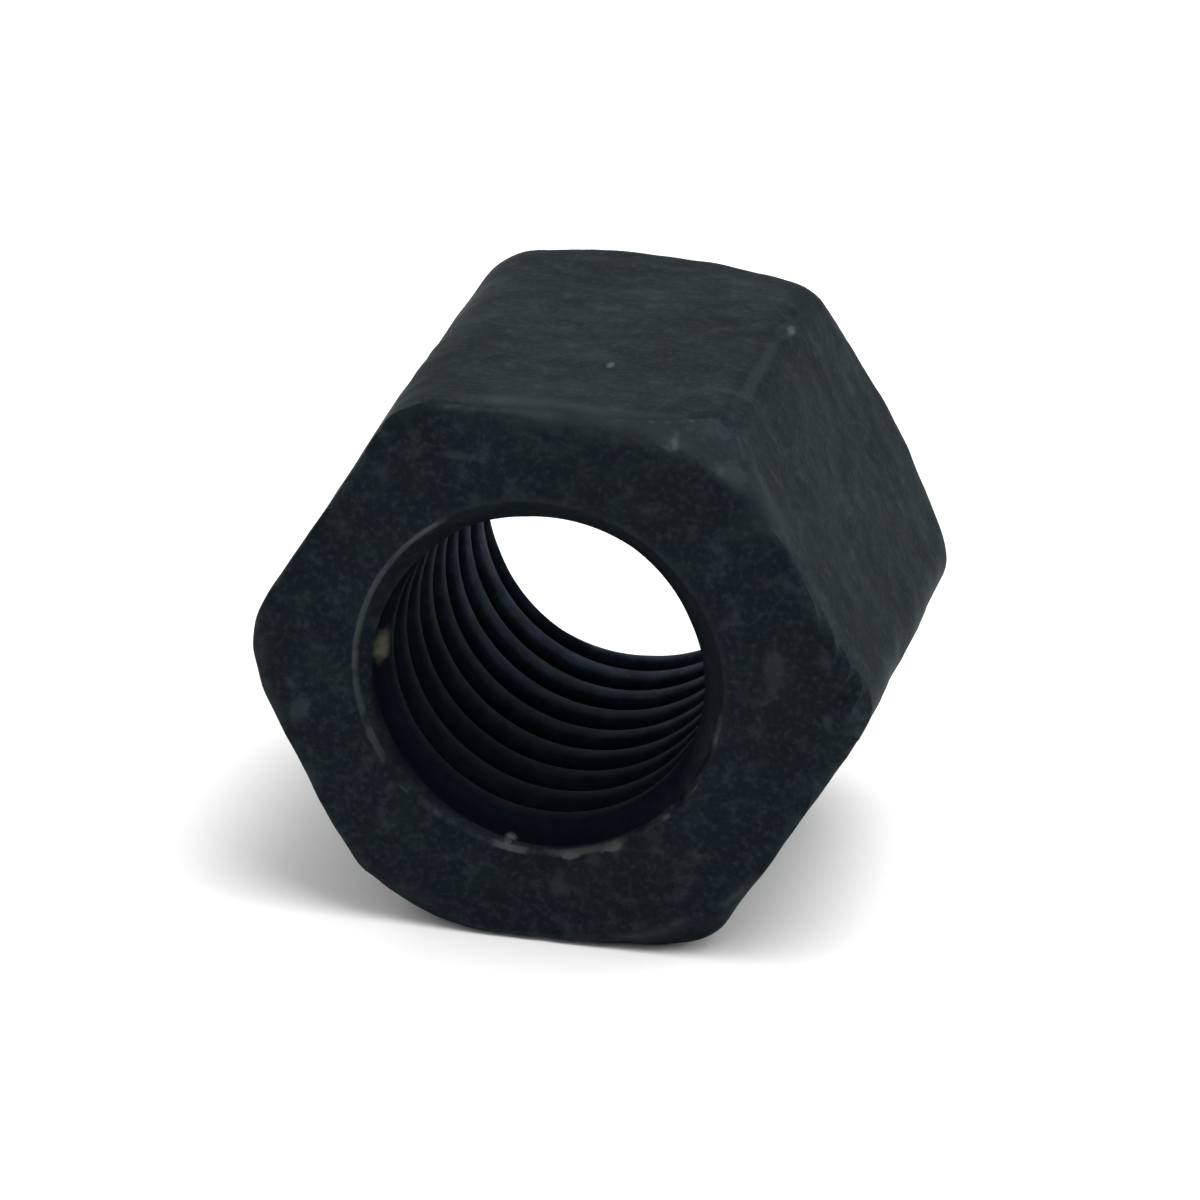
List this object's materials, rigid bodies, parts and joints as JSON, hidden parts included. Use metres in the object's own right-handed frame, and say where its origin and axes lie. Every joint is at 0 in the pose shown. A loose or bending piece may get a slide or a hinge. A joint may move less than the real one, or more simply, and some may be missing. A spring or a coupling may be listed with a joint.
{
  "type": "hex nut",
  "caption": "Tall steel hexagon nut with a coarse metric internal thread, countersunk mouths and chamfered ends, blackened finish.",
  "frame": {"origin": "on the thread axis, halfway between the two ends", "axes": "Y is the thread axis, with the lightly chamfered end towards -Y; +Z is the outward normal of one wrench flat, so the nut stands on the opposite flat"},
  "size_m": [0.02, 0.0162, 0.018],
  "materials": {
    "blackened_steel": "black oxide over scaled forged steel, lightly oiled, satin"
  },
  "bodies": {
    "root": {"hex_nut": "blackened_steel"}
  },
  "joints": []
}
